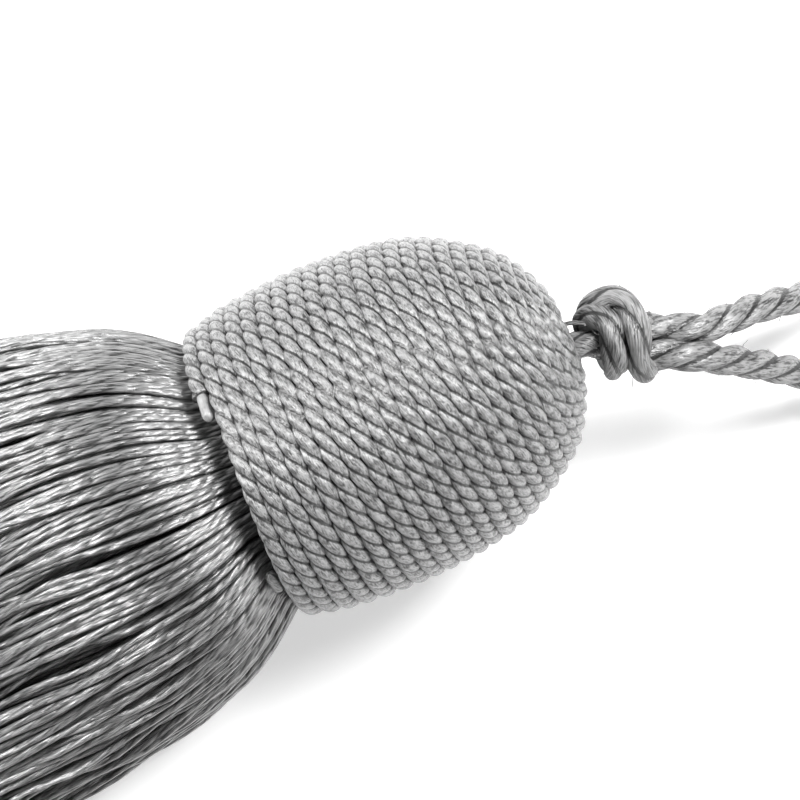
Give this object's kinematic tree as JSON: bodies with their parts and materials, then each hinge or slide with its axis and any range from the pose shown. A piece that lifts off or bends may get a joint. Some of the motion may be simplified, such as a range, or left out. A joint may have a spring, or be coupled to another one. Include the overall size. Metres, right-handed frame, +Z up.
{
  "type": "decorative tassel",
  "caption": "Cord-wound dome head with a full yarn skirt and a knotted rope loop to hang it by, lying on its side.",
  "frame": {"origin": "middle of the underside of the box around the head, skirt and knot, on the surface that the tassel lies on", "axes": "+X from the skirt's cut end to the crown and the knot, +Y to the left of that, +Z up from the surface"},
  "size_m": [0.2676, 0.0964, 0.057],
  "materials": {
    "wrap_cord": "satin three-ply viscose cord",
    "skirt_yarn": "satin two-ply viscose yarn",
    "loop_rope": "satin three-strand viscose rope"
  },
  "bodies": {
    "root": {"head": "wrap_cord", "skirt": "skirt_yarn", "knot": "loop_rope", "loop": "loop_rope"}
  },
  "joints": []
}
